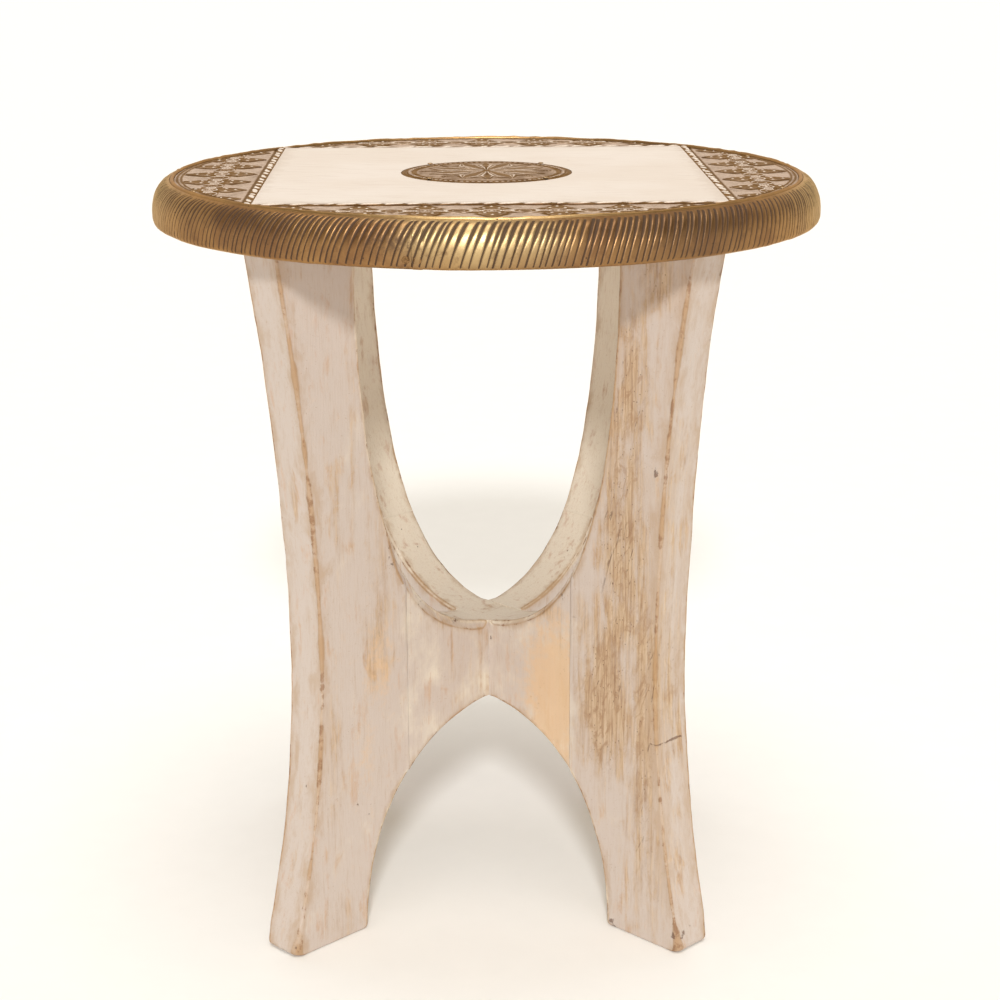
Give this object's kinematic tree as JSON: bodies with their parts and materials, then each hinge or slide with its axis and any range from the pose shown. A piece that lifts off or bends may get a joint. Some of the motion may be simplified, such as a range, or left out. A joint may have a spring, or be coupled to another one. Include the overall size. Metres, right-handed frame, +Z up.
{
  "type": "brass tray table",
  "caption": "Round side table: embossed brass and whitewashed wood top with a fluted brass edge, on a base of two crossed, deeply arched whitewashed boards.",
  "frame": {"origin": "on the floor, under the middle of the tabletop", "axes": "+Z up; -Y is the side seen in the picture, on the bisector between two legs; +X to the right from there"},
  "size_m": [0.406, 0.406, 0.4606],
  "materials": {
    "leg_wood": "distressed whitewash, ochre where it is worn through on the edges",
    "panel_paint": "smooth pale whitewash with faint scratches",
    "core_wood": "bare sawn hardwood",
    "dowel_wood": "bare turned hardwood",
    "edge_brass": "antiqued, dark in the flutes",
    "embossed_brass": "embossed, antiqued, white wash rubbed into the hollows",
    "pin_brass": "dull"
  },
  "bodies": {
    "root": {"band_nail_1": "pin_brass", "band_nail_2": "pin_brass", "band_nail_3": "pin_brass", "band_nail_4": "pin_brass", "band_nail_5": "pin_brass", "band_nail_6": "pin_brass", "border_strip_back": "embossed_brass", "border_strip_front": "embossed_brass", "border_strip_left": "embossed_brass", "border_strip_right": "embossed_brass", "brass_segment_back": "embossed_brass", "brass_segment_front": "embossed_brass", "brass_segment_left": "embossed_brass", "brass_segment_right": "embossed_brass", "centre_medallion": "embossed_brass", "core_plank_left": "core_wood", "core_plank_middle": "core_wood", "core_plank_right": "core_wood", "edge_band_1": "edge_brass", "edge_band_2": "edge_brass", "edge_band_3": "edge_brass", "head_dowel_back_left_1": "dowel_wood", "head_dowel_back_left_2": "dowel_wood", "head_dowel_back_right_1": "dowel_wood", "head_dowel_back_right_2": "dowel_wood", "head_dowel_front_left_1": "dowel_wood", "head_dowel_front_left_2": "dowel_wood", "head_dowel_front_right_1": "dowel_wood", "head_dowel_front_right_2": "dowel_wood", "leg_back_left": "leg_wood", "leg_back_right": "leg_wood", "leg_front_left": "leg_wood", "leg_front_right": "leg_wood", "medallion_pin_1": "pin_brass", "medallion_pin_2": "pin_brass", "medallion_pin_3": "pin_brass", "medallion_pin_4": "pin_brass", "rim_bead_ring": "edge_brass", "seam_dowel_back_left_1": "dowel_wood", "seam_dowel_back_left_2": "dowel_wood", "seam_dowel_back_right_1": "dowel_wood", "seam_dowel_back_right_2": "dowel_wood", "seam_dowel_front_left_1": "dowel_wood", "seam_dowel_front_left_2": "dowel_wood", "seam_dowel_front_right_1": "dowel_wood", "seam_dowel_front_right_2": "dowel_wood", "segment_pin_back_1": "pin_brass", "segment_pin_back_2": "pin_brass", "segment_pin_front_1": "pin_brass", "segment_pin_front_2": "pin_brass", "segment_pin_left_1": "pin_brass", "segment_pin_left_2": "pin_brass", "segment_pin_right_1": "pin_brass", "segment_pin_right_2": "pin_brass", "web_block_lower": "leg_wood", "web_block_upper": "leg_wood", "white_panel": "panel_paint"}
  },
  "joints": []
}
